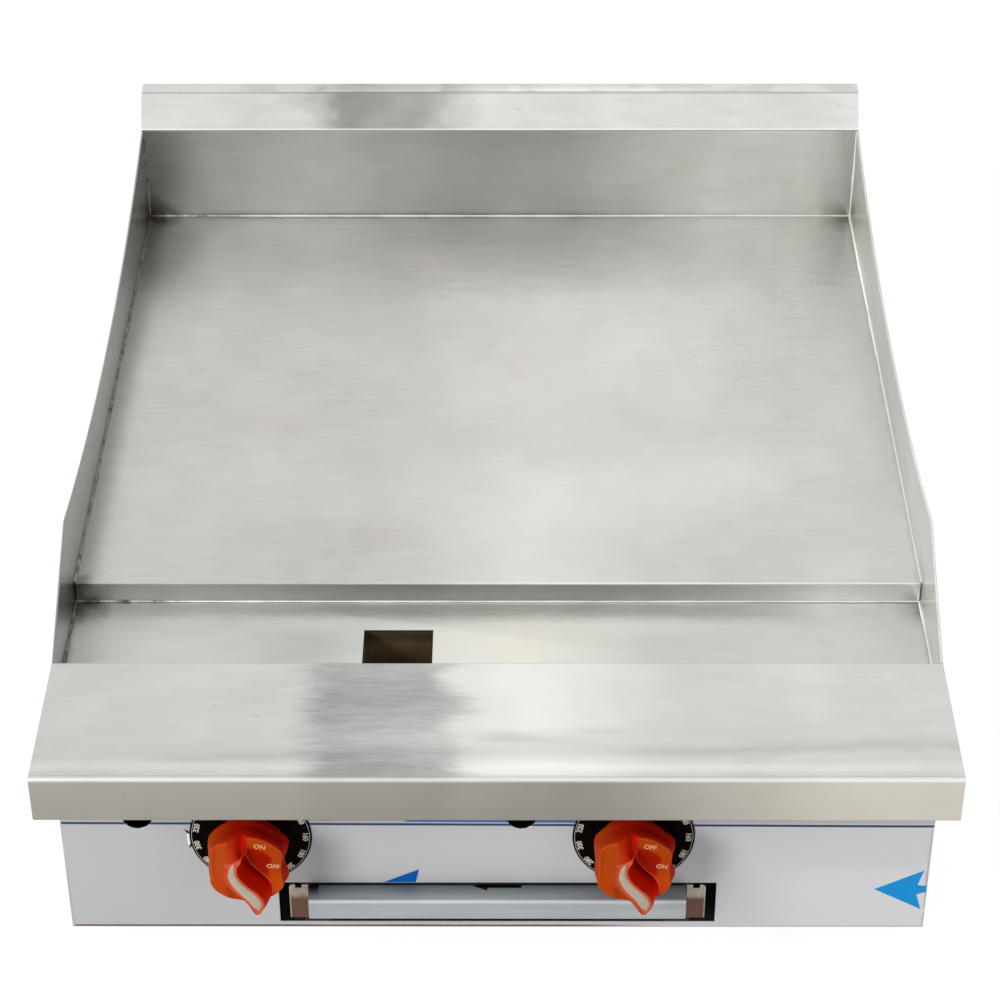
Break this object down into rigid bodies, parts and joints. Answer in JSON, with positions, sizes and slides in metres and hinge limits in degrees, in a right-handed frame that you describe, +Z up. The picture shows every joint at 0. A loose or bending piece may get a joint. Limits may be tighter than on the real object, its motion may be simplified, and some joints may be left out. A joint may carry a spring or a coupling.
{
  "type": "flat_top_griddle",
  "caption": "Countertop gas flat top griddle with a thick steel plate in welded splashes, a front grease trough and drawer, and turning burner knobs on dials.",
  "frame": {"origin": "centre of the object's box, on the surface that it stands on", "axes": "+X to the operator's right, +Y away from the operator towards the flue, +Z up"},
  "size_m": [0.6, 0.77, 0.3082],
  "materials": {
    "plate": "ground steel plate, slightly clouded by heat",
    "casing": "brushed stainless sheet",
    "inner": "aluminised sheet",
    "burner": "heat-dulled steel tube",
    "pipe": "black steel pipe",
    "brass": "machined brass",
    "fastener": "zinc-plated steel",
    "knob": "orange-red moulded plastic",
    "inlay": "cream pointer strip",
    "dial": "black enamelled disc",
    "foot": "black rubber"
  },
  "bodies": {
    "chassis": {"griddle_plate": "plate", "side_splash_left": "casing", "side_splash_right": "casing", "backsplash": "casing", "flue_cap": "casing", "drip_trough": "casing", "apron": "casing", "front_panel": "casing", "side_panel_left": "casing", "side_panel_right": "casing", "rear_panel": "casing", "base_pan": "inner", "plate_rail_left": "inner", "plate_rail_right": "inner", "heat_shield": "inner", "grease_chute": "inner", "drawer_runner_left": "inner", "drawer_runner_right": "inner", "burner_rail_front": "inner", "burner_rail_rear": "inner", "manifold_bracket_left": "inner", "manifold_bracket_right": "inner", "gas_manifold": "pipe", "manifold_elbow": "pipe", "supply_pipe": "pipe", "manifold_plug": "brass", "gas_inlet": "brass", "gas_valve_left": "brass", "gas_valve_right": "brass", "orifice_left": "brass", "orifice_right": "brass", "foot_screw_front_left": "fastener", "foot_screw_front_right": "fastener", "foot_screw_rear_left": "fastener", "foot_screw_rear_right": "fastener", "rear_screw_low_left": "fastener", "rear_screw_low_right": "fastener", "rear_screw_high_left": "fastener", "rear_screw_high_right": "fastener", "foot_front_left": "foot", "foot_front_right": "foot", "foot_rear_left": "foot", "foot_rear_right": "foot", "burner_left": "burner", "burner_right": "burner", "dial_plate_left": "dial", "dial_plate_right": "dial"},
    "drawer": {"grease_drawer": "inner", "drawer_front": "casing", "drawer_handle": "casing"},
    "knob_left": {"knob_left": "knob", "knob_inlay_left": "inlay", "valve_stem_left": "fastener"},
    "knob_right": {"knob_right": "knob", "knob_inlay_right": "inlay", "valve_stem_right": "fastener"},
    "shutter_left": {"air_shutter_left": "fastener"},
    "shutter_right": {"air_shutter_right": "fastener"}
  },
  "joints": [
    {"name": "drawer_slide", "type": "slide", "parent": "chassis", "child": "drawer", "axis": [0, -1, 0], "range_m": [0, 0.38]},
    {"name": "knob_left_turn", "type": "hinge", "parent": "chassis", "child": "knob_left", "pos_m": [-0.167, -0.325, 0.1065], "axis": [0, -1, 0], "range_deg": [0, 90]},
    {"name": "knob_right_turn", "type": "hinge", "parent": "chassis", "child": "knob_right", "pos_m": [0.0925, -0.325, 0.1065], "axis": [0, -1, 0], "range_deg": [0, 90]},
    {"name": "air_shutter_left_turn", "type": "hinge", "parent": "chassis", "child": "shutter_left", "pos_m": [-0.167, -0.2337, 0.1065], "axis": [0, 1, 0], "range_deg": [0, 45]},
    {"name": "air_shutter_right_turn", "type": "hinge", "parent": "chassis", "child": "shutter_right", "pos_m": [0.0925, -0.2337, 0.1065], "axis": [0, 1, 0], "range_deg": [0, 45]}
  ]
}
